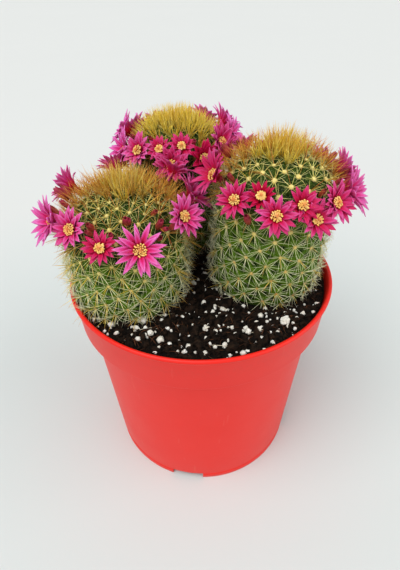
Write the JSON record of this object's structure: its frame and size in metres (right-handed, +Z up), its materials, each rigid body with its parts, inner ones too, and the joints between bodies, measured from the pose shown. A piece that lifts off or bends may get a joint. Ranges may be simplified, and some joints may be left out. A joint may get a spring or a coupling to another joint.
{
  "type": "potted round cactus",
  "caption": "Cluster of round, spiny cactus stems with rings of small pink flowers, growing in gritty potting mix in a round red plastic nursery pot.",
  "frame": {"origin": "on the pot's axis, at the height of its foot, so the floor is z = 0", "axes": "+Z up along the pot's axis; the two larger stems stand towards -Y, one at -X and one at +X, and the third stem stands behind them towards +Y"},
  "size_m": [0.1213, 0.1216, 0.1649],
  "materials": {
    "pot": "satin",
    "potting_mix": "matte",
    "perlite": "matte",
    "stem": "satin",
    "spines": "satin",
    "petals": "satin",
    "buds": "satin"
  },
  "bodies": {
    "root": {"bud_back_1": "buds", "bud_left_1": "buds", "bud_left_2": "buds", "bud_left_3": "buds", "bud_right_1": "buds", "bud_right_2": "buds", "crown_spines_back": "spines", "crown_spines_left": "spines", "crown_spines_right": "spines", "flower_back_01": "petals", "flower_back_02": "petals", "flower_back_03": "petals", "flower_back_04": "petals", "flower_back_05": "petals", "flower_back_06": "petals", "flower_back_07": "petals", "flower_back_08": "petals", "flower_back_09": "petals", "flower_back_10": "petals", "flower_back_11": "petals", "flower_back_12": "petals", "flower_back_13": "petals", "flower_back_14": "petals", "flower_left_01": "petals", "flower_left_02": "petals", "flower_left_03": "petals", "flower_left_04": "petals", "flower_left_05": "petals", "flower_left_06": "petals", "flower_left_07": "petals", "flower_left_08": "petals", "flower_left_09": "petals", "flower_right_01": "petals", "flower_right_02": "petals", "flower_right_03": "petals", "flower_right_04": "petals", "flower_right_05": "petals", "flower_right_06": "petals", "flower_right_07": "petals", "flower_right_08": "petals", "flower_right_09": "petals", "flower_right_10": "petals", "flower_right_11": "petals", "flower_right_12": "petals", "flower_right_13": "petals", "flower_right_14": "petals", "perlite_grain_1": "perlite", "perlite_grain_2": "perlite", "perlite_grain_3": "perlite", "perlite_grain_4": "perlite", "pot": "pot", "potting_mix": "potting_mix", "stem_back": "stem", "stem_left": "stem", "stem_right": "stem"}
  },
  "joints": []
}
